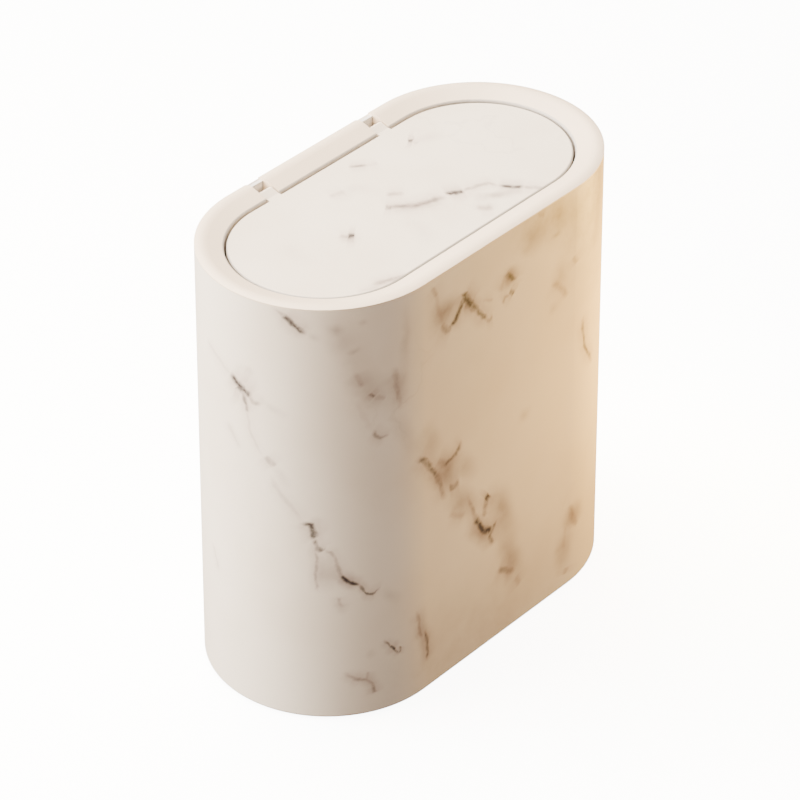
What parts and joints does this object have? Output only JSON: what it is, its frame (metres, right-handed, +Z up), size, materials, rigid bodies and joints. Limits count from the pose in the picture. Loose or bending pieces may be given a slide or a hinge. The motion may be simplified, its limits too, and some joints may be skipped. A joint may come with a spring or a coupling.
{
  "type": "mini waste bin",
  "caption": "Small oblong desk or kitchen bin with a marble-print shell, dished collar and a lid that springs open on a rear hinge when pressed at the front.",
  "frame": {"origin": "middle of the footprint, on the surface that the bin stands on", "axes": "+Z up, +Y to the rear where the hinge is, +X along the length"},
  "size_m": [0.1804, 0.0944, 0.18],
  "materials": {
    "marble_shell": "satin marble print",
    "marble_lid": "satin marble print",
    "collar_plastic": "fine moulded matte",
    "base_plastic": "moulded matte",
    "liner_plastic": "moulded matte",
    "latch_plastic": "moulded matte",
    "plunger_plastic": "smooth moulded",
    "pad_rubber": "matte",
    "steel": "zinc plated",
    "spring_wire": "drawn wire",
    "magnet_plate": "nickel plated"
  },
  "bodies": {
    "bin": {"bin_shell": "marble_shell", "base_plate": "base_plastic", "foot_pad_front_left": "pad_rubber", "foot_pad_front_right": "pad_rubber", "foot_pad_rear_left": "pad_rubber", "foot_pad_rear_right": "pad_rubber"},
    "collar": {"collar": "collar_plastic", "latch_housing": "latch_plastic", "latch_end_cap": "latch_plastic", "latch_screws": "steel"},
    "hinge_rod": {"hinge_rod": "steel", "hinge_spring_left": "spring_wire", "hinge_spring_right": "spring_wire"},
    "lid": {"lid_cover": "marble_lid", "lid_liner": "liner_plastic", "liner_screws": "steel", "strike_plate": "steel", "strike_screws": "steel"},
    "plunger": {"latch_plunger": "plunger_plastic", "latch_magnet": "magnet_plate", "latch_spring": "spring_wire"}
  },
  "joints": [
    {"name": "collar_lift", "type": "slide", "parent": "bin", "child": "collar", "axis": [0, 0, 1], "range_m": [0, 0.04]},
    {"name": "lid_press", "type": "hinge", "parent": "collar", "child": "hinge_rod", "pos_m": [0, 0.04, 0.1746], "axis": [-1, 0, 0], "range_deg": [-1.6, 0], "stiffness_Nm_per_rad": 1.2, "springref_deg": 1.72},
    {"name": "lid_swing", "type": "hinge", "parent": "hinge_rod", "child": "lid", "pos_m": [0, 0.04, 0.1746], "axis": [-1, 0, 0], "range_deg": [0, 88]},
    {"name": "latch_slide", "type": "slide", "parent": "collar", "child": "plunger", "axis": [0, 0, 1], "range_m": [-0.0022, 0], "deforming": ["latch_spring"]}
  ],
  "couplings": [
    {"joint": "latch_slide", "follows": "lid_press", "m_per_rad": 0.069}
  ]
}
